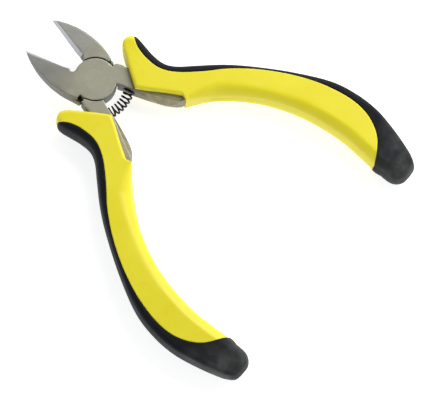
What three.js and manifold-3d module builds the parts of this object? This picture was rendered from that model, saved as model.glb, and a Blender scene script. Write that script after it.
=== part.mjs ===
// Mini side cutter (flush cutter) of the 125 mm class, lying flat with its jaws open.
// Units are millimetres. +Z is up, +Y points to the jaws, +X to the right handle.
// The origin is on the pivot axis, at the underside of the lap joint.
//
// Each half is drawn in its own closed frame: the cutting edge on X = 0, the jaw on one side
// of it and the handle on the other. A group then turns each half open by half the jaw angle.
import * as THREE from 'three';
import { ConvexGeometry } from 'three/addons/geometries/ConvexGeometry.js';
import { mergeVertices } from 'three/addons/utils/BufferGeometryUtils.js';
import Module from 'manifold-3d';

const wasm = await Module();
wasm.setup();

// ---- driving dimensions ----
const OPEN_ANGLE = THREE.MathUtils.degToRad(30);  // between the cutting edges at rest
const JOINT_T = 8;                                // thickness of the forged joint
const LAP_Z = JOINT_T / 2;                        // plane where the two halves lap
const LAP_GAP = 0.05;                             // each half stays this far off the lap plane
const DISC_R = 6.8;                               // round lap disc of each half
const RECESS_R = DISC_R + 0.3;                    // recess that the other half's disc turns in
const EDGE_GAP = 0.06;                            // each cutting edge stays this far off X = 0
const TIP_Y = 24.2;                               // reach of the jaws beyond the pivot
const TIP_T = 3;                                  // thickness of the jaws at the tip
const EDGE_START_Y = 9.6;                         // heel end of the cutting edge
const BEVEL_W = 0.9;                              // width of the ground bevel, in plan
const THROAT = { x: 0.3, y: 8.15, r: 1.5 };       // relief notch behind the cutting edge
const RIVET_R = 2.5;
const RIVET_HEAD_R = 3.1;
const RIVET_HEAD_T = 0.6;                         // depth of the countersunk rivet heads
const RIVET_PLAY = 0.1;
const GRIP_T = 13;                                // thickness of the handle grips
const GRIP_Z0 = LAP_Z - GRIP_T / 2;
const GRIP_ROUND = 1.25;                          // rounding of the grips' top and bottom edges
const BELLY_ROUND = 3.4;                          // larger rounding along the grips' inner side
const CLEAR = 0.3;                                // gap between pieces that touch
const STRAP_T = 6;                                // thickness of the hidden end of each tang
const SPRING_ARC_R = 11;                          // the spring curves round the pivot at this radius
const SPRING_R = 1.375;                           // mean coil radius
const SPRING_WIRE_R = 0.225;
const SPRING_TURNS = 11.5;
const SEAT_R = 1.9;                               // blind hole in each tang for the spring's end
const SEAT_END_ANGLE = THREE.MathUtils.degToRad(21.5);  // bottom of the hole, from the Y axis, closed
const SEAT_DEPTH = 3.4;

// Angles from the cross axis of a half's heel end and shoulder, at the top and bottom of the joint.
const HEEL = { top: 17.5, bottom: 10 };
const SHOULDER = { top: -26.5, bottom: -23 };

// ---- colours ----
const steel = new THREE.MeshStandardMaterial({ color: 0xa5a391, roughness: 0.4, metalness: 0.9 });
const rivetSteel = new THREE.MeshStandardMaterial({ color: 0xadaa9a, roughness: 0.35, metalness: 0.9 });
const springSteel = new THREE.MeshStandardMaterial({ color: 0x16161a, roughness: 0.4, metalness: 0.6 });
const yellow = new THREE.MeshStandardMaterial({ color: 0xeee83c, roughness: 0.45, metalness: 0 });
const black = new THREE.MeshStandardMaterial({ color: 0x1b1d22, roughness: 0.55, metalness: 0 });

// ---- solids ----
function solid(geometry) {
  const bare = geometry.clone();
  for (const name of Object.keys(bare.attributes)) {
    if (name !== 'position') bare.deleteAttribute(name);
  }
  const merged = mergeVertices(bare, 1e-4);
  return new wasm.Manifold(new wasm.Mesh({
    numProp: 3,
    vertProperties: new Float32Array(merged.attributes.position.array),
    triVerts: new Uint32Array(merged.index.array),
  }));
}

function mesh(name, body, material) {
  const data = body.getMesh();
  const geometry = new THREE.BufferGeometry();
  geometry.setAttribute('position', new THREE.BufferAttribute(new Float32Array(data.vertProperties), 3));
  geometry.setIndex(new THREE.BufferAttribute(new Uint32Array(data.triVerts), 1));
  geometry.computeVertexNormals();
  const node = new THREE.Mesh(geometry, material);
  node.name = name;
  return node;
}

function slab(shape, z0, z1, round = 0) {
  const geometry = new THREE.ExtrudeGeometry(shape, {
    depth: z1 - z0 - 2 * round,
    curveSegments: 6,
    bevelEnabled: round > 0,
    bevelSize: round,
    bevelOffset: -round,
    bevelThickness: round,
    bevelSegments: 2,
  });
  geometry.translate(0, 0, z0 + round);
  return solid(geometry);
}

function cylinder(r, z0, z1, segments = 72) {
  const geometry = new THREE.CylinderGeometry(r, r, z1 - z0, segments);
  geometry.rotateX(Math.PI / 2);
  geometry.translate(0, 0, (z0 + z1) / 2);
  return solid(geometry);
}

// ---- outlines, drawn for the half whose handle is on +X ----
const vec = ([x, y]) => new THREE.Vector2(x, y);
const polar = (r, angle) => new THREE.Vector2(r * Math.cos(angle), r * Math.sin(angle));
const curve = (points, count) => new THREE.SplineCurve(points.map(vec)).getPoints(count);

function arc(cx, cy, r, from, to, count) {
  const points = [];
  for (let i = 0; i <= count; i += 1) {
    const angle = from + (to - from) * i / count;
    points.push(new THREE.Vector2(cx + r * Math.cos(angle), cy + r * Math.sin(angle)));
  }
  return points;
}

// Moves an open line sideways: positive is to the left of its direction.
function offset(points, distance) {
  return points.map((point, i) => {
    const before = points[Math.max(i - 1, 0)];
    const after = points[Math.min(i + 1, points.length - 1)];
    const along = after.clone().sub(before).normalize();
    return new THREE.Vector2(point.x - along.y * distance, point.y + along.x * distance);
  });
}

// side is 1 for the half with its handle on +X and -1 for its mirror image.
function outline(points, side) {
  return new THREE.Shape(points.map((point) => new THREE.Vector2(side * point.x, point.y)));
}

const jawBack = curve([
  [-8.1, 4.9], [-7.9, 8.4], [-6.9, 13], [-5, 17.7], [-2.5, 21.5], [-EDGE_GAP, TIP_Y],
], 16);
const tangOuter = curve([[7.6, -7.5], [8.2, -12], [9.4, -19], [11.8, -26], [13.6, -30]], 10);
const tangInner = curve([
  [8.6, -30.4], [4.9, -27.3], [3.15, -24.6], [2.45, -21.5], [2.05, -17.5], [1.95, -13.5], [2, -10.5], [1.9, -8.5],
], 14);
const strapOuter = curve([[12, -26], [16.2, -35], [20.2, -45], [22.6, -55], [24, -66], [23.2, -77]], 12);
const strapInner = curve([[20.6, -77], [20.7, -66], [19.2, -55.5], [16, -45.5], [11.8, -36], [8, -28]], 12);

// Angle on the lap disc where the throat's notch runs into it.
function throatOnDisc() {
  const distance = Math.hypot(THROAT.x, THROAT.y);
  const along = (DISC_R ** 2 - THROAT.r ** 2 + distance ** 2) / (2 * distance);
  return Math.atan2(THROAT.y, THROAT.x) + Math.acos(along / DISC_R);
}

function leverOutline(level, side) {
  const shoulder = THREE.MathUtils.degToRad(SHOULDER[level]);
  const heel = THREE.MathUtils.degToRad(180 - HEEL[level]);
  const discStart = throatOnDisc();
  const corner = polar(DISC_R, discStart);
  const throatEnd = Math.atan2(corner.y - THROAT.y, corner.x - THROAT.x) + 2 * Math.PI;
  const throatStart = Math.atan2(EDGE_START_Y - THROAT.y, -EDGE_GAP - THROAT.x);
  const tangStart = -Math.acos(1.6 / DISC_R);
  return outline([
    ...arc(THROAT.x, THROAT.y, THROAT.r, throatStart, throatEnd, 8),
    ...arc(0, 0, DISC_R, discStart, shoulder, 26).slice(1),
    polar(8.3, shoulder),
    polar(8.6, shoulder - 0.05),
    vec([7.75, -5.3]),
    ...tangOuter,
    ...tangInner,
    ...arc(0, 0, DISC_R, tangStart, heel - 2 * Math.PI, 24),
    polar(8.2, heel),
    polar(8.5, heel - 0.05),
    ...jawBack,
  ], side);
}

// ---- the two forged levers ----
const PAST_TIP_Y = 30;
const TAPER_START_Y = 7.6;

// The wedge over or under the jaw, which thins it from the joint to the tip.
function jawTaper(side, up) {
  const face = up ? JOINT_T : 0;
  const tip = LAP_Z + (up ? 1 : -1) * TIP_T / 2;
  const far = up ? JOINT_T + 4 : -4;
  const points = [];
  for (const x of [-12, 2]) {
    points.push(
      new THREE.Vector3(side * x, TAPER_START_Y, face),
      new THREE.Vector3(side * x, TIP_Y, tip),
      new THREE.Vector3(side * x, PAST_TIP_Y, tip),
      new THREE.Vector3(side * x, PAST_TIP_Y, far),
      new THREE.Vector3(side * x, TAPER_START_Y, far),
    );
  }
  return solid(new ConvexGeometry(points));
}

// The ground bevel from the jaw's flat down to the cutting edge at mid thickness.
// Its cutter runs on a little past the flat, at the same slope.
function jawBevel(side, up) {
  const past = 1.3;
  const points = [];
  for (const [y, thickness] of [[TAPER_START_Y - 1, JOINT_T], [TIP_Y + 1, TIP_T]]) {
    const z = LAP_Z + (up ? past : -past) * thickness / 2;
    points.push(
      new THREE.Vector3(-side * EDGE_GAP, y, LAP_Z),
      new THREE.Vector3(-side * (EDGE_GAP + BEVEL_W * past), y, z),
      new THREE.Vector3(side * 3, y, z),
      new THREE.Vector3(side * 3, y, LAP_Z),
    );
  }
  return solid(new ConvexGeometry(points));
}

// Blind hole along the spring's arc, in the inner face of the tang.
function springSeat(side) {
  const depthAngle = SEAT_DEPTH / SPRING_ARC_R;
  const middle = SEAT_END_ANGLE - depthAngle / 2;
  const geometry = new THREE.CylinderGeometry(SEAT_R, SEAT_R, SEAT_DEPTH, 24);
  geometry.rotateZ(Math.PI / 2);
  geometry.translate(0, -SPRING_ARC_R, LAP_Z);
  geometry.rotateZ(side * middle);
  return solid(geometry);
}

function rivetShape(play) {
  const profile = [
    new THREE.Vector2(0, 0),
    new THREE.Vector2(RIVET_HEAD_R + play, 0),
    new THREE.Vector2(RIVET_R + play, RIVET_HEAD_T),
    new THREE.Vector2(RIVET_R + play, JOINT_T - RIVET_HEAD_T),
    new THREE.Vector2(RIVET_HEAD_R + play, JOINT_T),
    new THREE.Vector2(0, JOINT_T),
  ];
  const geometry = new THREE.LatheGeometry(profile, 48);
  geometry.rotateX(Math.PI / 2);
  return solid(geometry);
}

// The rivet's hole, opened past both faces of the joint.
function rivetHole() {
  const r = RIVET_HEAD_R + RIVET_PLAY;
  return rivetShape(RIVET_PLAY)
    .add(cylinder(r, -1, 0.01, 48))
    .add(cylinder(r, JOINT_T - 0.01, JOINT_T + 1, 48));
}

// lapOnTop says whether this half's disc is the upper one.
function lever(side, lapOnTop) {
  const strap = outline([...strapOuter, ...strapInner], side);
  let body = slab(leverOutline('bottom', side), 0, LAP_Z)
    .add(slab(leverOutline('top', side), LAP_Z - 0.02, JOINT_T))
    .add(slab(strap, LAP_Z - STRAP_T / 2, LAP_Z + STRAP_T / 2));
  body = body.subtract(lapOnTop
    ? cylinder(RECESS_R, -1, LAP_Z + LAP_GAP)
    : cylinder(RECESS_R, LAP_Z - LAP_GAP, JOINT_T + 1));
  for (const up of [true, false]) {
    body = body.subtract(jawTaper(side, up)).subtract(jawBevel(side, up));
  }
  return body.subtract(rivetHole()).subtract(springSeat(side));
}

// ---- the two-part grips ----
const mouth = curve([[2.5, -12.7], [5, -10.4], [7.7, -8], [10.1, -5.9], [12.4, -3.9]], 6);
const nose = curve([[13.6, -3.1], [14.8, -2.6], [16.2, -2.9], [17.3, -3.9], [17.65, -5.2]], 8);
const gripBack = curve([
  [17.2, -7.4], [15.95, -10], [14.5, -13.3], [13.6, -17.3], [14.5, -21.4], [17.5, -27], [21.45, -34.5],
  [24.75, -42.85], [28.45, -55], [30.9, -67], [30.6, -76], [28.55, -84.25], [24.6, -92.3], [20.95, -98.3],
], 44);
const tail = curve([
  [19.5, -100.1], [18.5, -101.2], [17.2, -101.7], [15.2, -101.4], [12.9, -100.6], [11.7, -99.3], [11.2, -97.8],
  [11.3, -96.3], [11.7, -94.9], [12.2, -93.7], [12, -92.4], [12.2, -91.4],
], 24);
const gripBelly = curve([
  [12.7, -90.3], [14.65, -84.7], [17.05, -76], [18.2, -64], [17.2, -53], [14.55, -43.8], [10.25, -35], [5.9, -28.7],
], 26);
const overTang = curve([[6.9, -27], [6, -23.8], [4.9, -20.2], [3.8, -17]], 5);

// The line between the two colours, from the nose round to the belly near the tail.
const colourLine = curve([
  [17.6, -4.8], [16.2, -6.5], [14.5, -8.3], [12.5, -11.8], [11.4, -16.8], [12.6, -22.4], [16.3, -29.6],
  [20.5, -36.4], [24.3, -45], [27.2, -55], [28.6, -65], [28.1, -75], [25.5, -82.2], [20.3, -87.6], [12.7, -90.3],
], 44);

// Outline of the core's end, which runs on inside the black tail.
const stub = curve([
  [25.4, -79], [25.2, -85], [21.8, -92], [18.2, -97.4], [14.8, -97.6], [14.3, -92.5], [17, -84.5],
  [18.4, -79],
], 18);
const STUB_INSET = 2.5;                           // black skin over the stub, top and bottom

// The grip's outline runs on past its mouth, so that only its long edges are rounded.
const pastMouth = [[3.2, -24.6], [0.8, -18], [1, -11.5], [6, -5.5], [11, -2.9]].map(vec);

function gripBlank(side) {
  const points = [...pastMouth, ...nose, ...gripBack, ...tail, ...gripBelly];
  const away = [[1.5, -22], [-4, -10], [-4, 10], [48, 10], [48, -112], [6, -112], [8.6, -98]].map(vec);
  const ahead = [[-12, 4], [-12, -28.6]].map(vec);
  const mouthCut = outline([...overTang, ...mouth, nose[0], vec([11, 4]), ...ahead, gripBelly.at(-1)], side);
  return slab(outline(points, side), GRIP_Z0, GRIP_Z0 + GRIP_T, GRIP_ROUND)
    .intersect(slab(outline([...gripBelly, ...away], side), GRIP_Z0, GRIP_Z0 + GRIP_T, BELLY_ROUND))
    .subtract(slab(mouthCut, GRIP_Z0 - 1, GRIP_Z0 + GRIP_T + 1));
}

// Everything on the handle's outer side of the colour line, moved sideways by distance.
function outerRegion(side, distance) {
  const line = offset(colourLine, distance);
  const first = line[0].clone().add(vec([6, 8]));
  const last = line[line.length - 1].clone().add(vec([-8, 1]));
  const around = [[5, -112], [45, -112], [45, 5]].map(vec);
  return slab(outline([first, ...line, last, ...around], side), GRIP_Z0 - 1, GRIP_Z0 + GRIP_T + 1);
}

function stubSolid(side, inset) {
  const line = offset([...stub, stub[0]], inset);
  const skin = STUB_INSET - inset;
  return slab(outline(line.slice(0, -1), side), GRIP_Z0 + skin, GRIP_Z0 + GRIP_T - skin);
}

function tangCavity(side) {
  const root = [vec([4, -6]), vec([8.6, -3]), ...tangOuter, ...tangInner];
  const strap = offset([...strapOuter, ...strapInner, strapOuter[0]], CLEAR).slice(0, -1);
  const grown = offset([...root, root[0]], CLEAR).slice(0, -1);
  return slab(outline(grown, side), -CLEAR, JOINT_T + CLEAR)
    .add(slab(outline(strap, side), LAP_Z - STRAP_T / 2 - CLEAR, LAP_Z + STRAP_T / 2 + CLEAR));
}

function gripCore(side) {
  return gripBlank(side)
    .subtract(outerRegion(side, -CLEAR / 2))
    .add(stubSolid(side, 0))
    .subtract(tangCavity(side));
}

function gripOvermold(side) {
  return gripBlank(side)
    .intersect(outerRegion(side, CLEAR / 2))
    .subtract(stubSolid(side, CLEAR));
}

// ---- the return spring ----
class CoilPath extends THREE.Curve {
  getPoint(t) {
    const end = SEAT_END_ANGLE + OPEN_ANGLE / 2 - (CLEAR + SPRING_WIRE_R) / SPRING_ARC_R;
    const along = -end + 2 * end * t;
    const turn = 2 * Math.PI * SPRING_TURNS * t;
    const r = SPRING_ARC_R + SPRING_R * Math.cos(turn);
    return new THREE.Vector3(r * Math.sin(along), -r * Math.cos(along), LAP_Z + SPRING_R * Math.sin(turn));
  }
}

function spring() {
  const wire = new THREE.Shape(arc(0, 0, SPRING_WIRE_R, 0, 2 * Math.PI * 5 / 6, 5));
  const path = new CoilPath();
  return solid(new THREE.ExtrudeGeometry(wire, { steps: Math.round(SPRING_TURNS * 14), extrudePath: path }));
}

// ---- assembly ----
const cutter = new THREE.Group();
const halves = [
  { name: 'right', side: 1, lapOnTop: true },
  { name: 'left', side: -1, lapOnTop: false },
];
for (const { name, side, lapOnTop } of halves) {
  const half = new THREE.Group();
  half.rotation.z = side * OPEN_ANGLE / 2;
  half.add(mesh(`${name}_lever`, lever(side, lapOnTop), steel));
  half.add(mesh(`${name}_grip_core`, gripCore(side), yellow));
  half.add(mesh(`${name}_grip_overmold`, gripOvermold(side), black));
  cutter.add(half);
}
cutter.add(mesh('pivot_rivet', rivetShape(0), rivetSteel));
cutter.add(mesh('return_spring', spring(), springSteel));

export default cutter;
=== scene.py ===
"""Mini side cutter with its jaws open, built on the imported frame. Lengths are in mm until finish_piece()."""
import math

import bmesh
import bpy
import numpy as np
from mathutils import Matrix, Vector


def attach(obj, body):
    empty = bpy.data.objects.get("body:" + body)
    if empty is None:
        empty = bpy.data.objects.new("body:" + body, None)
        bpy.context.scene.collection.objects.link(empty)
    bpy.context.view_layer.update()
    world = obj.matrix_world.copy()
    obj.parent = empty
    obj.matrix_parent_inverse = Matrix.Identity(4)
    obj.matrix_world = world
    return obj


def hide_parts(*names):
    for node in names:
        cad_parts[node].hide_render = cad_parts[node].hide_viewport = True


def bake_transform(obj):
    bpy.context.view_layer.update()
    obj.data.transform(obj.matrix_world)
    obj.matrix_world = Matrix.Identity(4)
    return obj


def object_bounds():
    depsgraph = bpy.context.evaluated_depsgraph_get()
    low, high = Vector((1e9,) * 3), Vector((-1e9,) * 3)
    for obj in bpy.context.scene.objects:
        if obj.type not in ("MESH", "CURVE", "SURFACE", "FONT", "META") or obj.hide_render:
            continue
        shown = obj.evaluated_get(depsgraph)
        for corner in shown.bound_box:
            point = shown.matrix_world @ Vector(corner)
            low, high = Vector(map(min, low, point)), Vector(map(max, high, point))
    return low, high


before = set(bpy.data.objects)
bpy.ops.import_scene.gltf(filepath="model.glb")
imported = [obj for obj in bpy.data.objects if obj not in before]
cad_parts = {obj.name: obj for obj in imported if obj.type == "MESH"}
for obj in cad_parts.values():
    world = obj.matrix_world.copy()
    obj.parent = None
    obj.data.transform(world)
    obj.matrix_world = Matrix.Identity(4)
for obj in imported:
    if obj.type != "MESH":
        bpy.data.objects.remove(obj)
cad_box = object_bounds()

import openvdb
from mathutils import Matrix, Vector
from mathutils.geometry import delaunay_2d_cdt

MM = 0.001
OPEN = math.radians(15)                 # each half is turned open by this much at rest
MID = 4.0                               # the lap plane, and the middle of both grips
HALVES = {"right": 1, "left": -1}
BODY = {"right": "right_half", "left": "left_half"}


# ---- curves ----
def spline(points, step=0.45):
    """A smooth line through the points, sampled evenly."""
    p = np.array(points, float)
    n = len(p) - 1
    out = []
    for i in range(n):
        a, b, c, d = p[max(i - 1, 0)], p[i], p[i + 1], p[min(i + 2, n)]
        t = np.linspace(0, 1, 24, endpoint=False)[:, None]
        v0, v1 = (c - a) / 2, (d - b) / 2
        out.append((2 * b - 2 * c + v0 + v1) * t ** 3 + (-3 * b + 3 * c - 2 * v0 - v1) * t ** 2 + v0 * t + b)
    return resample(np.concatenate(out + [p[-1:]]), step)


def resample(line, step):
    """Points at even steps along a line."""
    run = np.concatenate([[0], np.cumsum(np.linalg.norm(np.diff(line, axis=0), axis=1))])
    count = max(2, int(round(run[-1] / step)) + 1)
    s = np.linspace(0, run[-1], count)
    return np.stack([np.interp(s, run, line[:, k]) for k in range(2)], 1)


def polar(r, degrees):
    a = math.radians(degrees)
    return [r * math.cos(a), r * math.sin(a)]


def arc(cx, cy, r, start, end, count):
    turned = [polar(r, start + (end - start) * i / count) for i in range(count + 1)]
    return [[cx + x, cy + y] for x, y in turned]


# ---- mesh helpers ----
def mesh_object(name, verts, faces):
    data = bpy.data.meshes.new(name)
    data.from_pydata([tuple(map(float, v)) for v in verts], [], [tuple(map(int, f)) for f in faces])
    data.update()
    made = bpy.data.objects.new(name, data)
    bpy.context.scene.collection.objects.link(made)
    return made


def outward(piece):
    """Turns every face of a closed mesh outwards."""
    made = bmesh.new()
    made.from_mesh(piece.data)
    bmesh.ops.recalc_face_normals(made, faces=made.faces)
    made.to_mesh(piece.data)
    made.free()
    return piece


def revolved(profile, count=160):
    """Turns (radius, z) points round Z; the profile's ends are on the axis."""
    verts, faces = [], []
    for r, z in profile[1:-1]:
        verts += [(*polar(r, 360 * i / count), z) for i in range(count)]
    rows = len(profile) - 2
    for k in range(rows - 1):
        for i in range(count):
            j = (i + 1) % count
            faces.append((k * count + i, k * count + j, (k + 1) * count + j, (k + 1) * count + i))
    for end, row in ((0, 0), (-1, rows - 1)):
        verts.append((0, 0, profile[end][1]))
        tip = len(verts) - 1
        faces += [(tip, row * count + i, row * count + (i + 1) % count) for i in range(count)]
    return outward(mesh_object("revolved", verts, faces))


def finish_piece(piece, name, body, material, turn=0.0, nodes=(), sharp=35):
    """Scales to metres, turns a half open, shades, and rides the piece on its body."""
    piece.name = piece.data.name = name
    piece.data.transform(Matrix.Scale(MM, 4) @ Matrix.Rotation(turn, 4, "Z"))
    piece.data.polygons.foreach_set("use_smooth", [True] * len(piece.data.polygons))
    piece.data.set_sharp_from_angle(angle=math.radians(sharp))
    piece.data.materials.clear()
    piece.data.materials.append(material)
    if body:
        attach(piece, body)
    if nodes:
        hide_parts(*nodes)
    return piece


# ---- outlines, drawn closed for the half whose handle is on +X, as in the CAD ----
STEEL_H = 8.0                           # thickness of the joint and the tangs
DISC_R, RECESS_R = 6.8, 7.1
HOLE_R, RIVET_R = 3.012, 3.25
SPRING_ARC_R = 11.0                     # the spring and its seats lie on this radius round the pivot
SEAT_R, SEAT_FROM = 1.9, math.radians(21.5)
EDGE_X, TIP_Y = -0.06, 24.2             # the cutting edge in the closed outline, and its end
BEVEL_W = 0.9                           # plan width of the ground bevel on each face
BEVEL_FROM = 8.15                       # the bevel runs from here to the tip
TAPER_FROM, TAPER = 5.6, 0.1506         # each face of the jaw falls by this slope towards the tip
THROAT = (0.2, 7.8, 1.05)               # centre and radius of the notch behind the cutting edge
HEEL = {"top": 17.5, "bottom": 10}      # degrees round the disc to the jaw's heel
SHOULDER = {"top": -26.5, "bottom": -23}
jaw_back = spline([[-8.1, 4.9], [-7.9, 8.4], [-6.9, 13], [-5, 17.7], [-2.5, 21.5], [EDGE_X, TIP_Y]])
tang_outer = spline([[7.6, -7.5], [8.2, -12], [9.4, -19], [11.8, -26], [13.6, -30]])
tang_inner = spline([
    [8.6, -30.4], [4.9, -27.3], [3.15, -24.6], [2.45, -21.5], [2.05, -17.5], [1.95, -13.5],
    [2, -10.5], [1.9, -8.5]])
colour_line = spline([
    [17.6, -5.0], [15.9, -6.4], [14.3, -8.2], [12.5, -11.8], [11.4, -16.8], [12.6, -22.4],
    [16.3, -29.6], [20.5, -36.4], [24.3, -45], [27.2, -55], [28.6, -65], [28.1, -75],
    [25.5, -82.2], [20.3, -87.6], [12.7, -90.3]])
mouth = spline([[2.5, -12.7], [5, -10.4], [7.7, -8], [10.1, -5.9], [12.4, -3.9]])
nose = spline([[12.4, -3.9], [13.6, -3.1], [14.8, -2.6], [16.2, -2.9], [17.2, -3.8], [17.6, -5.0]], 0.3)
horn = spline([[17.6, -5.0], [17.7, -5.9], [17.2, -7.4]], 0.3)
back = spline([
    [17.2, -7.4], [15.95, -10], [14.5, -13.3], [13.6, -17.3], [14.5, -21.4], [17.5, -27], [21.45, -34.5],
    [24.75, -42.85], [28.45, -55], [30.9, -67], [30.6, -76], [28.55, -84.25], [24.6, -92.3],
    [20.95, -98.3], [19.5, -100.1]])
tail = spline([
    [19.5, -100.1], [18.5, -101.2], [17.2, -101.7], [15.2, -101.4], [12.9, -100.6], [11.7, -99.3],
    [11.2, -97.8], [11.3, -96.3], [11.65, -94.9], [12.0, -93.7], [12.1, -92.4], [12.3, -91.4],
    [12.7, -90.3]], 0.3)
belly = spline([
    [12.7, -90.3], [14.65, -84.7], [17.05, -76], [18.2, -64], [17.2, -53], [14.55, -43.8],
    [10.25, -35], [5.9, -28.7]])
over_tang = spline([[6.9, -27], [6, -23.8], [4.9, -20.2], [3.8, -17], [2.5, -12.7]])


def lean(side, y):
    """The edges meet on a line that leans a little across the joint, with a small lip beside the throat."""
    return side * (0.027 * (TIP_Y - y) + 0.16 * np.exp(-(y - 9.3) ** 2 / 0.64))


def lever_outline(level, side):
    """The plan of a forged half above or below the lap plane, a little proud of the ground cutting edge."""
    tx, ty, tr = THROAT
    brink = EDGE_X + 0.3 + 0.414 * side
    gap = math.hypot(tx, ty)
    along = (DISC_R ** 2 - tr ** 2 + gap ** 2) / (2 * gap)
    start = math.degrees(math.atan2(ty, tx) + math.acos(along / DISC_R))
    corner = polar(DISC_R, start)
    throat_end = math.degrees(math.atan2(corner[1] - ty, corner[0] - tx)) + 360
    throat_start = math.degrees(math.acos((brink - tx) / tr))
    heel, shoulder = 180 - HEEL[level], SHOULDER[level]
    return [
        *arc(tx, ty, tr, throat_start, throat_end, 14),
        *arc(0, 0, DISC_R, start, shoulder, 70)[1:],
        polar(8.3, shoulder), polar(8.6, shoulder - 3), [7.75, -5.3],
        *tang_outer, *tang_inner,
        *arc(0, 0, DISC_R, -math.degrees(math.acos(1.6 / DISC_R)), heel - 360, 60),
        polar(8.2, heel), polar(8.5, heel - 3),
        *jaw_back, (brink, 20),
    ]


# ---- the two forged halves ----
VOXEL = 0.14
LOW, HIGH = (-9.4, -37.0, -0.5), (14.6, 25.0, 8.5)
LAP_GAP = 0.03                          # between the disc's face and the recess that it lies in
AXES = [np.arange(a, b, VOXEL) for a, b in zip(LOW, HIGH)]


def meet(a, b, r):
    """Where both fields are inside, with the edge between them rounded to radius r."""
    return np.minimum(np.maximum(a, b), -r) + np.hypot(np.maximum(a + r, 0), np.maximum(b + r, 0))


def plan_field(loop, rounds, x, y):
    """Signed distance to a closed outline over the plan grid, and the edge round nearest to each place."""
    loop, rounds = np.array(loop, float), np.array(rounds, float)
    ring, values = np.concatenate([loop, loop[:1]]), np.concatenate([rounds, rounds[:1]])[:, None]
    points = np.stack(np.meshgrid(x, y, indexing="ij"), -1).reshape(-1, 2)
    parts = [nearest(p, ring, values) for p in np.array_split(points, 24)]
    d = np.concatenate([p[0] for p in parts])
    v = np.concatenate([p[1][:, 0] for p in parts])
    sign = np.concatenate([np.where(inside(p, loop), -1, 1) for p in np.array_split(points, 24)])
    shape = (len(x), len(y), 1)
    return (d * sign).reshape(shape), v.reshape(shape)


def edge_rounds(loop):
    """Radius of the edge round for each outline point: large along the jaw's back, small elsewhere."""
    out = []
    for x, y in loop:
        on_back = x < -0.2 * (24 - y) - 0.5
        jaw = min(1, max(0, (y - 5.5) / 3)) * min(1, max(0.2, (TIP_Y - y) / 5))
        out.append(0.14 + 0.4 * jaw * on_back)
    near = np.array(out)
    for _ in range(6):
        near = (np.roll(near, 1) + near + np.roll(near, -1)) / 3
    return near


def jaw_fall(y):
    """How far each face of the jaw lies below the joint's face."""
    u = np.clip(y - TAPER_FROM, 0, None)
    return np.where(u < 4, u * u / 8, u - 2) * TAPER


def lever_field(top_disc, fields):
    """The forged half as a distance field, drawn closed for side +1."""
    x, y, z = AXES[0][:, None, None], AXES[1][None, :, None], AXES[2][None, None, :]
    fall = jaw_fall(y)
    slope = np.cos(np.arctan(TAPER))
    thick = STEEL_H - 2 * fall
    over, under = (z - (STEEL_H - fall)) * slope, (fall - z) * slope
    (top, top_r), (bottom, bottom_r) = fields["top"], fields["bottom"]
    body = np.minimum(
        np.maximum(meet(top, over, top_r), MID - 0.25 - z),
        np.maximum(meet(bottom, under, bottom_r), z - MID - 0.25))
    rho = np.hypot(x, y)
    recess = np.maximum(rho - RECESS_R, (z - MID - LAP_GAP) if top_disc else (MID - LAP_GAP - z))
    body = meet(body, -recess, 0.1)
    across = lean(1 if top_disc else -1, y)
    ground = (x - EDGE_X - across + 2 * BEVEL_W * np.abs(z - MID) / thick) / np.hypot(1, 2 * BEVEL_W / thick)
    body = meet(body, np.minimum(ground, y - BEVEL_FROM), 0.05)
    turn = np.arctan2(x, -y)
    seat = np.hypot(rho - SPRING_ARC_R, z - MID) - SEAT_R
    seat = np.maximum(seat, (np.abs(turn) - SEAT_FROM) * SPRING_ARC_R)
    seat = np.maximum(seat, np.maximum(-x, y))
    body = meet(body, -seat, 0.12)
    body = meet(body, HOLE_R - rho, 0.01)
    # A flat is ground along the inner edge of the tang, top and bottom.
    ahead = np.array([3.1, -15]) / math.hypot(3.1, 15)
    out = (x - 2.1) * ahead[1] - (y + 12.5) * ahead[0]
    flat = (2 * (out - 0.05) + (np.abs(z - MID) - STEEL_H / 2)) / math.sqrt(5)
    return meet(body, np.minimum(flat, -11 - y), 0.06)


def lever(name, side, field, materials):
    """Turns the field into a mesh shaded by the field's slopes. The ground bevels have their own material."""
    grid = openvdb.FloatGrid(3 * VOXEL)
    grid.copyFromArray(np.clip(field, -3 * VOXEL, 3 * VOXEL).astype(np.float32))
    points, tris, quads = grid.convertToPolygons(0.0, 0.01)
    slopes = np.stack(np.gradient(field), -1)
    base = np.clip(points.astype(int), 0, np.array(field.shape) - 2)
    part = points - base
    normals = np.zeros(points.shape)
    for corner in np.ndindex(2, 2, 2):
        share = np.prod(np.where(corner, part, 1 - part), axis=1)[:, None]
        normals += share * slopes[tuple((base + corner).T)]
    normals /= np.maximum(np.linalg.norm(normals, axis=1), 1e-9)[:, None]
    verts = points * VOXEL + np.array(LOW)
    turn = np.array(Matrix.Rotation(side * OPEN, 3, "Z")) @ np.diag([side, 1, 1])
    piece = mesh_object("forging", verts @ turn.T, [*tris.tolist(), *quads.tolist()])
    normals = normals @ turn.T
    inward = sum(p.normal.dot(Vector(normals[p.vertices[0]])) < 0 for p in piece.data.polygons)
    if inward * 2 > len(piece.data.polygons):
        piece.data.flip_normals()
    forged, ground = materials
    finish_piece(piece, f"{name}_forging", BODY[name], forged, 0, [f"{name}_lever"], 180)
    piece.data.materials.append(ground)
    x, y, z = verts.T
    off = x - EDGE_X - lean(side, y) + 2 * BEVEL_W * np.abs(z - MID) / (STEEL_H - 2 * jaw_fall(y))
    bevel = (np.abs(off) < 0.06) & (y > BEVEL_FROM + 0.8) & (y < TIP_Y - 0.1)
    for p in piece.data.polygons:
        p.material_index = int(all(bevel[k] for k in p.vertices))
    piece.data.normals_split_custom_set_from_vertices([tuple(n) for n in normals])


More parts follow.
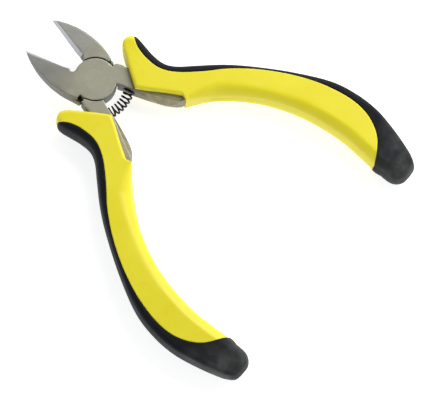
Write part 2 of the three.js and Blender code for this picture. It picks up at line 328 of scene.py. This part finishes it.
# ---- the two-part grips ----
def nearest(points, line, values):
    """Distance from each point to the line, and the line's values at the nearest place."""
    a, b = line[:-1], line[1:]
    ab = b - a
    t = np.clip(((points[:, None] - a) * ab).sum(2) / (ab * ab).sum(1), 0, 1)
    d = np.linalg.norm(points[:, None] - a - t[..., None] * ab, axis=2)
    k = d.argmin(1)
    row = np.arange(len(points))
    share = t[row, k][:, None]
    return d[row, k], values[k] * (1 - share) + values[k + 1] * share


def inside(points, loop):
    """True for each point within the closed loop."""
    a, b = loop, np.roll(loop, -1, 0)
    x, y = points[:, :1], points[:, 1:]
    rise = np.where(b[:, 1] == a[:, 1], 1e-12, b[:, 1] - a[:, 1])
    cross = ((a[:, 1] > y) != (b[:, 1] > y)) & (x < (b[:, 0] - a[:, 0]) * (y - a[:, 1]) / rise + a[:, 0])
    return cross.sum(1) % 2 == 1


def edge_drop(d, v):
    """How far the surface falls at distance d from an edge: by a round, and by a slope further in."""
    r, w, h, k = v.T[:4]
    d = np.maximum(d, 0)
    x = (w - d) / np.maximum(w, 0.01)
    inside = np.clip(r - d, 0, None)
    return r - np.sqrt(np.maximum(r * r - inside ** 2, 0)) + h * (x + np.sqrt(x * x + k * k)) / 2


def styled(parts):
    """Joins (line, style at start, style at end) parts into one open line with a style for each point."""
    lines, styles = [], []
    for n, (line, first, last) in enumerate(parts):
        s = np.linspace(0, 1, len(line))[:, None]
        keep = slice(0 if n == 0 else 1, None)
        lines.append(np.asarray(line)[keep])
        styles.append((np.array(first) * (1 - s) + np.array(last) * s)[keep])
    return np.concatenate(lines), np.concatenate(styles)


# Distances in from a grip's edge that get a row of points, and the levels of its side wall from top to bottom.
ROWS = [0.05, 0.13, 0.25, 0.42, 0.65, 0.95, 1.3, 1.7, 2.15, 2.65, 3.2, 3.8, 4.4]
WALL = [0.0, 0.06, 0.16, 0.3, 0.5, 0.7, 0.84, 0.94, 1.0]


def grip_part(groups, height):
    """A closed solid over a plan region. The groups are open styled lines that join into its edge.

    A style is (round, slope width, slope depth, slope softness, side bulge).
    """
    loop = np.concatenate([line[:-1] for line, _ in groups])
    bulge = np.concatenate([style[:-1, 4] for _, style in groups])
    n = len(loop)
    ahead, behind = np.roll(loop, -1, 0), np.roll(loop, 1, 0)
    along = ahead - behind
    along /= np.linalg.norm(along, axis=1)[:, None]
    area = (loop[:, 0] * ahead[:, 1] - ahead[:, 0] * loop[:, 1]).sum()
    out = np.stack([along[:, 1], -along[:, 0]], 1) * (1 if area > 0 else -1)
    ring = np.concatenate([loop, loop[:1]])
    inner = []
    for d in ROWS:
        p = loop - out * d
        inner.append(p[(nearest(p, ring, ring)[0] > 0.97 * d) & inside(p, loop)])
    low, high = loop.min(0), loop.max(0)
    grid = np.array([[x + 0.45 * (row % 2), y] for row, y in enumerate(np.arange(low[1], high[1], 0.8))
                     for x in np.arange(low[0], high[0], 0.9)])
    inner.append(grid[(nearest(grid, ring, ring)[0] > ROWS[-1] + 0.4) & inside(grid, loop)])
    points = np.concatenate([loop] + inner)
    plan, _, tris, *_ = delaunay_2d_cdt([Vector(p) for p in points], [], [list(range(n))], 1, 1e-6, True)
    flat = np.array([tuple(p) for p in plan])
    tris = np.array(tris)
    tris = tris[inside(flat[tris].mean(1), loop)]
    drop = np.zeros(len(flat))
    for line, style in groups:
        d, v = nearest(flat, line, style)
        drop += edge_drop(d, v) ** 3
    z = height(flat) - drop ** (1 / 3)
    count = len(flat)
    verts = [(x, y, MID + h) for (x, y), h in zip(flat, z)] + [(x, y, MID - h) for (x, y), h in zip(flat, z)]
    faces = [tuple(t) for t in tris] + [tuple(count + i for i in t[::-1]) for t in tris]
    order = [int(i) for i in nearest_index(loop, flat)]
    rows = [order]
    for w in WALL[1:-1]:
        level = 1 - 2 * w
        first = len(verts)
        for i in range(n):
            x, y = loop[i] + out[i] * bulge[i] * (1 - level ** 2)
            verts.append((x, y, MID + z[order[i]] * level))
        rows.append(list(range(first, first + n)))
    rows.append([count + i for i in order])
    for upper, lower in zip(rows, rows[1:]):
        faces += [(upper[i], upper[(i + 1) % n], lower[(i + 1) % n], lower[i]) for i in range(n)]
    return verts, faces


def nearest_index(wanted, points):
    """Which of the points is nearest to each wanted one."""
    return [np.abs(points - p).sum(1).argmin() for p in wanted]


def grip_height(flat):
    """Half height of the grip: flat, and falling a little to its tail and its nose."""
    y = flat[:, 1]
    t = np.clip((-y - 86) / 16, 0, 1)
    f = np.clip((y + 11) / 8.5, 0, 1)
    hollow = np.exp(-((flat[:, 0] - 17.3) ** 2 + (y + 95) ** 2) / 7)
    return 6.5 - 0.9 * t * t - 0.9 * f * f - 0.22 * hollow


def grip(name, side, yellow, black):
    """The yellow sleeve and the black band of one handle, as two closed solids with styled edges."""
    seam = [0.24, 1, 0, 0.1, 0]
    lip = [0.3, 1, 0, 0.1, 0]
    start, front = [1.2, 3, 0, 0.4, 0.2], [4.6, 3, 0.0, 0.4, 0.5]
    middle, rear = [3.2, 2.9, 0.5, 0.4, 0.5], [1.4, 2.7, 1.8, 0.1, 0.5]
    edge, tip = [0.9, 1, 0, 0.1, 0.1], [1.9, 1, 0, 0.1, 0.35]
    third = len(belly) // 3
    step = resample(np.array([belly[-1], over_tang[0]]), 0.15)
    core = [
        styled([(colour_line, seam, seam)]),
        styled([
            (belly[:third + 1], rear, rear), (belly[third:2 * third + 1], rear, middle),
            (belly[2 * third:-21], middle, front), (belly[-22:], front, start), (step, lip, lip),
            (over_tang, edge, edge), (mouth, edge, edge), (nose, edge, tip)]),
    ]
    rim, wall, heel = [0.34, 1, 0, 0.1, 0], [2.1, 1, 0, 0.1, 0.35], [1.2, 1, 0, 0.1, 0.15]
    bend, cap = [2.0, 1.2, 0.4, 0.2, 0.5], [2.2, 2.7, 1.5, 0.1, 0.8]
    third = len(back) // 3
    over = [
        styled([
            (horn, tip, wall), (back[:third + 1], wall, wall), (back[third:], wall, heel),
            (tail[:9], heel, bend), (tail[8:], bend, cap)]),
        styled([(colour_line[::-1], rim, rim)]),
    ]
    for part, groups, slot, material, node in (
            ("core", core, "yellow_plastic", yellow, f"{name}_grip_core"),
            ("cover", over, "black_rubber", black, f"{name}_grip_overmold")):
        verts, faces = grip_part(groups, grip_height)
        verts = [(side * x, y, z) for x, y, z in verts]
        piece = outward(mesh_object(part, verts, faces))
        finish_piece(piece, f"{name}_handle_{part}", BODY[name], material, side * OPEN, [node], 50)


# ---- the return spring ----
def return_spring(material):
    """A coil on an arc round the pivot, with closed ends seated in both tangs."""
    arc_r, coil_r, wire_r = SPRING_ARC_R, 1.5, 0.3
    turns, closed, per_turn, around = 11.5, 1.2, 36, 12
    end = SEAT_FROM + OPEN - 0.25 / arc_r
    close_pitch = 0.5 / arc_r
    open_pitch = (2 * end - 2 * closed * close_pitch) / (turns - 2 * closed)
    centre, steps = [], int(turns * per_turn)
    for i in range(steps + 1):
        turn = turns * i / steps
        open_turns = max(0, min(turn, turns - closed) - closed)
        close_turns = min(turn, closed) + max(0, turn - turns + closed)
        along = -end + close_turns * close_pitch + open_turns * open_pitch
        a = 2 * math.pi * turn
        r = arc_r + coil_r * math.cos(a)
        centre.append(Vector((r * math.sin(along), -r * math.cos(along), MID + coil_r * math.sin(a))))
    verts, faces = [], []
    for i, c in enumerate(centre):
        tangent = (centre[min(i + 1, steps)] - centre[max(i - 1, 0)]).normalized()
        along = math.atan2(c.x, -c.y)
        middle = Vector((arc_r * math.sin(along), -arc_r * math.cos(along), MID))
        normal = (c - middle).cross(tangent).cross(tangent).normalized()
        side = tangent.cross(normal)
        for k in range(around):
            a = 2 * math.pi * k / around
            verts.append(c + (normal * math.cos(a) + side * math.sin(a)) * wire_r)
    for i in range(steps):
        for k in range(around):
            j = (k + 1) % around
            faces.append((i * around + k, i * around + j, (i + 1) * around + j, (i + 1) * around + k))
    faces += [tuple(range(around)), tuple(range(steps * around, (steps + 1) * around))]
    coil = outward(mesh_object("spring", verts, faces))
    piece = finish_piece(coil, "return_coil", None, material)
    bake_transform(piece)
    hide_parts("return_spring")


# ---- materials ----
class Nodes:
    """A material's node tree, with short calls to add and join nodes."""
    def __init__(self, name, metallic, roughness, **sockets):
        self.material = bpy.data.materials.new(name)
        self.material.use_nodes = True
        self.tree = self.material.node_tree
        self.shader = self.tree.nodes["Principled BSDF"]
        self.place = self.add("ShaderNodeTexCoord").outputs["Object"]
        self.shader.inputs["Metallic"].default_value = metallic
        self.shader.inputs["Roughness"].default_value = roughness
        for key, value in sockets.items():
            self.shader.inputs[key.replace("_", " ")].default_value = value

    def add(self, kind, **settings):
        node = self.tree.nodes.new(kind)
        for key, value in settings.items():
            setattr(node, key, value)
        return node

    def put(self, socket, value):
        if isinstance(value, bpy.types.NodeSocket):
            self.tree.links.new(value, socket)
        else:
            socket.default_value = value

    def noise(self, scale, detail=3, rough=0.55, stretch=None, turn=0.0):
        place = self.place
        if stretch:
            mapping = self.add("ShaderNodeMapping")
            mapping.inputs["Scale"].default_value = stretch
            mapping.inputs["Rotation"].default_value = (0, 0, turn)
            self.put(mapping.inputs["Vector"], place)
            place = mapping.outputs["Vector"]
        node = self.add("ShaderNodeTexNoise")
        self.put(node.inputs["Vector"], place)
        for key, value in (("Scale", scale), ("Detail", detail), ("Roughness", rough)):
            node.inputs[key].default_value = value
        return node.outputs["Fac"]

    def spread(self, value, low, high, to_low=0.0, to_high=1.0):
        node = self.add("ShaderNodeMapRange")
        self.put(node.inputs["Value"], value)
        for key, number in (("From Min", low), ("From Max", high), ("To Min", to_low), ("To Max", to_high)):
            node.inputs[key].default_value = number
        return node.outputs["Result"]

    def math(self, operation, a, b=0.0):
        node = self.add("ShaderNodeMath", operation=operation)
        self.put(node.inputs[0], a)
        self.put(node.inputs[1], b)
        return node.outputs[0]

    def mix(self, share, a, b):
        node = self.add("ShaderNodeMix", data_type="RGBA")
        self.put(node.inputs["Factor"], share)
        self.put(node.inputs["A"], a)
        self.put(node.inputs["B"], b)
        return node.outputs["Result"]

    def bump(self, height, strength, distance, after=None):
        node = self.add("ShaderNodeBump")
        node.inputs["Strength"].default_value = strength
        node.inputs["Distance"].default_value = distance
        self.put(node.inputs["Height"], height)
        if after:
            self.put(node.inputs["Normal"], after)
        return node.outputs["Normal"]

    def edges(self, low=0.52, high=0.62):
        """1 along outer edges, 0 elsewhere."""
        return self.spread(self.add("ShaderNodeNewGeometry").outputs["Pointiness"], low, high)

    def axis(self, vector, name):
        """One coordinate of a vector."""
        node = self.add("ShaderNodeSeparateXYZ")
        self.put(node.inputs[0], vector)
        return node.outputs[name]

    def reach(self):
        """Distance from the pivot's axis."""
        x, y = self.axis(self.place, "X"), self.axis(self.place, "Y")
        return self.math("SQRT", self.math("ADD", self.math("MULTIPLY", x, x), self.math("MULTIPLY", y, y)))

    def level(self):
        """1 on the flats that face straight up or down, 0 on walls."""
        upright = self.math("ABSOLUTE", self.axis(self.add("ShaderNodeTexCoord").outputs["Normal"], "Z"))
        return self.spread(upright, 0.6, 0.95)

    def crevice_shade(self, reach):
        """Mask for painted shade from ambient occlusion: 1 deep in narrow gaps, 0 in the open."""
        node = self.add("ShaderNodeAmbientOcclusion", samples=8)
        node.inputs["Distance"].default_value = reach
        return self.spread(node.outputs["AO"], 0.55, 0.34)

    def finish(self, colour, roughness=None, normal=None):
        self.put(self.shader.inputs["Base Color"], colour)
        if roughness is not None:
            self.put(self.shader.inputs["Roughness"], roughness)
        if normal is not None:
            self.put(self.shader.inputs["Normal"], normal)
        return self.material


def forged_steel():
    """Blasted steel: warm on the joint, cooler on the jaws, brown on the tangs' sides, bright on edges (wear
    and a painted highlight), with a painted reflection towards the jaws' tips, walls darker (forge scale and
    painted shade) and painted shade in narrow gaps.
    """
    n = Nodes("forged_steel", 0.9, 0.54)
    cloud = n.noise(260, 4)
    grain = n.noise(5200, 3, 0.7)
    scratch = n.noise(900, 3, 0.6, (1, 9, 1), 0.5)
    warm = n.mix(n.spread(cloud, 0.3, 0.7), (0.365, 0.353, 0.275, 1), (0.415, 0.406, 0.32, 1))
    cool = n.mix(n.spread(cloud, 0.3, 0.7), (0.37, 0.37, 0.345, 1), (0.42, 0.42, 0.395, 1))
    colour = n.mix(n.math("MULTIPLY", n.spread(n.axis(n.place, "Y"), 0.011, 0.006), n.level()), cool, warm)
    colour = n.mix(n.spread(grain, 0.35, 0.65, 0, 0.4), colour, (0.28, 0.275, 0.235, 1))
    stain = n.spread(n.noise(130, 5, 0.65), 0.6, 0.78, 0, 0.45)
    colour = n.mix(stain, colour, (0.28, 0.24, 0.16, 1))
    # Bright edges: partly wear, partly a painted highlight along the rounded edges.
    edge = n.math("MULTIPLY", n.edges(0.53, 0.6), n.spread(n.noise(2200, 2), 0.35, 0.6, 0.3, 0.9))
    worn = n.math("MULTIPLY", n.spread(n.reach(), 0.012, 0.018, 0, 0.75), n.spread(n.level(), 1, 0))
    worn = n.math("MULTIPLY", worn, n.spread(n.noise(420, 4, 0.65), 0.4, 0.62, 0.25, 1))
    worn = n.math("MULTIPLY", worn, n.spread(n.axis(n.place, "Y"), -0.003, -0.009))
    # Painted reflection: lighter towards the jaws' tips, standing in for the bright floor mirrored in the
    # jaws' walls.
    colour = n.mix(n.spread(n.axis(n.place, "Y"), 0.014, 0.024, 0, 0.6), colour, (0.46, 0.46, 0.44, 1))
    # Walls darker than the flats: partly the darker forge scale of the sides, partly painted shade.
    colour = n.mix(n.spread(n.level(), 0.6, 0, 0, 0.66), colour, (0.07, 0.075, 0.08, 1))
    colour = n.mix(worn, colour, (0.42, 0.37, 0.24, 1))
    colour = n.mix(edge, colour, (0.66, 0.67, 0.65, 1))
    # Painted shade: near black deep in narrow gaps, such as the joint's notches.
    colour = n.mix(n.crevice_shade(0.0028), colour, (0.008, 0.0075, 0.007, 1))
    rough = n.spread(n.math("ADD", cloud, n.math("MULTIPLY", scratch, 0.6)), 0.5, 1.1, 0.48, 0.6)
    normal = n.bump(grain, 0.35, 0.00004, n.bump(scratch, 0.2, 0.00004))
    return n.finish(colour, rough, normal)


def ground_steel():
    """The bright bevels along the cutting edges, with fine grinding lines across them."""
    n = Nodes("ground_steel", 1.0, 0.3)
    lines = n.noise(1400, 3, 0.6, (1, 7, 1))
    colour = n.mix(n.spread(lines, 0.35, 0.65), (0.31, 0.315, 0.345, 1), (0.44, 0.445, 0.475, 1))
    return n.finish(colour, n.spread(lines, 0.3, 0.7, 0.24, 0.4), n.bump(lines, 0.25, 0.00003))


def rivet_steel():
    """The joint's steel, without its stains."""
    n = Nodes("rivet_steel", 0.9, 0.57)
    cloud = n.noise(500, 4)
    grain = n.noise(5200, 3, 0.7)
    colour = n.mix(n.spread(cloud, 0.3, 0.7), (0.365, 0.353, 0.275, 1), (0.415, 0.406, 0.32, 1))
    return n.finish(colour, n.spread(cloud, 0.3, 0.7, 0.48, 0.6), n.bump(grain, 0.35, 0.00004))


def black_oxide():
    """The spring's blackened wire."""
    n = Nodes("spring_steel", 0.7, 0.35)
    cloud = n.noise(1500, 3)
    colour = n.mix(n.spread(cloud, 0.35, 0.7), (0.006, 0.006, 0.007, 1), (0.02, 0.019, 0.019, 1))
    rough = n.spread(cloud, 0.3, 0.7, 0.28, 0.45)
    return n.finish(colour, rough, n.bump(n.noise(5000, 2), 0.15, 0.00003))


def yellow_plastic():
    """Hard yellow sleeve, a little orange in patches and pale where its edges are scuffed."""
    n = Nodes("yellow_plastic", 0.0, 0.42, Specular_IOR_Level=0.4)
    cloud = n.noise(70, 4)
    grain = n.noise(3300, 3, 0.6)
    colour = n.mix(n.spread(cloud, 0.35, 0.65), (0.79, 0.69, 0.016, 1), (0.82, 0.735, 0.024, 1))
    warm = n.spread(n.noise(160, 5, 0.65), 0.58, 0.75, 0, 0.55)
    colour = n.mix(warm, colour, (0.80, 0.60, 0.022, 1))
    scuff = n.math("MULTIPLY", n.edges(0.52, 0.6), n.spread(n.noise(900, 3), 0.45, 0.65))
    colour = n.mix(n.math("MULTIPLY", scuff, 0.5), colour, (0.88, 0.84, 0.25, 1))
    rough = n.spread(cloud, 0.3, 0.7, 0.36, 0.5)
    return n.finish(colour, rough, n.bump(grain, 0.22, 0.00006))


def black_rubber():
    """Soft black band, greyer at the tails with a painted reflection."""
    n = Nodes("black_rubber", 0.0, 0.66, Specular_IOR_Level=0.17)
    cloud = n.noise(110, 4)
    grain = n.noise(3000, 4, 0.65)
    colour = n.mix(n.spread(cloud, 0.3, 0.7), (0.0025, 0.0035, 0.0055, 1), (0.005, 0.007, 0.0105, 1))
    # Painted reflection: the tails are greyer, standing in for the light surroundings seen in their sloping
    # faces.
    patches = n.spread(n.noise(210, 4, 0.6), 0.38, 0.62, 0.3, 1)
    tail_sheen = n.math("MULTIPLY", n.spread(n.reach(), 0.089, 0.097), patches)
    colour = n.mix(tail_sheen, colour, (0.05, 0.054, 0.054, 1))
    scuff = n.math("MULTIPLY", n.edges(0.515, 0.6), n.spread(n.noise(1300, 4), 0.48, 0.62))
    colour = n.mix(n.math("MULTIPLY", scuff, 0.3), colour, (0.10, 0.105, 0.11, 1))
    rough = n.spread(cloud, 0.3, 0.7, 0.58, 0.74)
    return n.finish(colour, rough, n.bump(grain, 0.3, 0.00008))


# ---- the pieces ----
steel, yellow, black = (forged_steel(), ground_steel()), yellow_plastic(), black_rubber()
for half, sign in HALVES.items():
    loops = {level: lever_outline(level, sign) for level in HEEL}
    plan = {level: plan_field(loop, edge_rounds(loop), *AXES[:2]) for level, loop in loops.items()}
    lever(half, sign, lever_field(sign > 0, plan), steel)
    grip(half, sign, yellow, black)

rivet = revolved([
    (0, 0.03), (0.14, 0.03), (0.2, 0), (RIVET_R - 0.01, -0.004), (RIVET_R, 0.01), (RIVET_R, STEEL_H - 0.01),
    (RIVET_R - 0.01, STEEL_H + 0.004), (0.2, STEEL_H), (0.14, STEEL_H - 0.03), (0, STEEL_H - 0.03)])
finish_piece(rivet, "rivet", "left_half", rivet_steel(), 0, ["pivot_rivet"], 8)
return_spring(black_oxide())

# ---- floor, light and camera ----
floor_z = cad_box[0].z - 0.00002
floor_corners = [(-3, -3), (3, -3), (3, 3), (-3, 3)]
floor = mesh_object("floor", [(x, y, floor_z) for x, y in floor_corners], [(0, 1, 2, 3)])
paper = Nodes("floor_paper", 0.0, 0.9, Specular_IOR_Level=0.2)
paper.shader.inputs["Emission Color"].default_value = (1, 1, 1, 1)
paper.shader.inputs["Emission Strength"].default_value = 0.75
white = paper.mix(paper.noise(3, 2), (0.72, 0.72, 0.72, 1), (0.76, 0.76, 0.76, 1))
floor.data.materials.append(paper.finish(white))

scene = bpy.context.scene
scene.view_settings.view_transform = "Standard"
world = bpy.data.worlds.new("studio")
world.use_nodes = True
sky = world.node_tree
background = sky.nodes["Background"]
ramp = sky.nodes.new("ShaderNodeValToRGB")
split = sky.nodes.new("ShaderNodeSeparateXYZ")
direction = sky.nodes.new("ShaderNodeTexCoord")
sky.links.new(direction.outputs["Generated"], split.inputs[0])
sky.links.new(split.outputs["Z"], ramp.inputs["Fac"])
ramp.color_ramp.interpolation = "EASE"
stops = ramp.color_ramp.elements
stops[0].position, stops[0].color = 0.15, (1.0, 1.0, 1.0, 1)
stops[1].position, stops[1].color = 0.9, (0.09, 0.095, 0.1, 1)
stops.new(0.55).color = (0.55, 0.56, 0.57, 1)
sky.links.new(ramp.outputs["Color"], background.inputs["Color"])
background.inputs["Strength"].default_value = 1.1
scene.world = world


def softbox(name, place, aim, size, watts, colour):
    """A rectangular area light at a place, facing its aim."""
    data = bpy.data.lights.new(name, "AREA")
    data.shape = "RECTANGLE"
    data.size, data.size_y = size
    data.energy = watts
    data.color = colour
    lamp = bpy.data.objects.new(name, data)
    lamp.location = place
    lamp.rotation_euler = (Vector(aim) - Vector(place)).to_track_quat("-Z", "Y").to_euler()
    scene.collection.objects.link(lamp)


softbox("key", (0.36, -0.04, 0.34), (0, -0.05, 0), (0.36, 0.44), 2.45, (1, 0.985, 0.95))

middle = Vector((-4.909, -53.23, MID)) * MM
azimuth, elevation, roll = (math.radians(a) for a in (29.165, 78.136, 11.031))
distance = 0.82862
heading = Vector((math.cos(azimuth), math.sin(azimuth), 0))
forward = heading * math.cos(elevation) - Vector((0, 0, math.sin(elevation)))
across = Vector((math.sin(azimuth), -math.cos(azimuth), 0))
upward = across.cross(forward)
right = across * math.cos(roll) + upward * math.sin(roll)
up = upward * math.cos(roll) - across * math.sin(roll)
lens = bpy.data.cameras.new("camera")
lens.lens = 222.6164
lens.sensor_width = 36
lens.clip_end = 20
camera = bpy.data.objects.new("camera", lens)
turned = Matrix((right, up, -forward)).transposed().to_4x4()
camera.matrix_world = Matrix.Translation(middle - forward * distance) @ turned
scene.collection.objects.link(camera)
scene.camera = camera
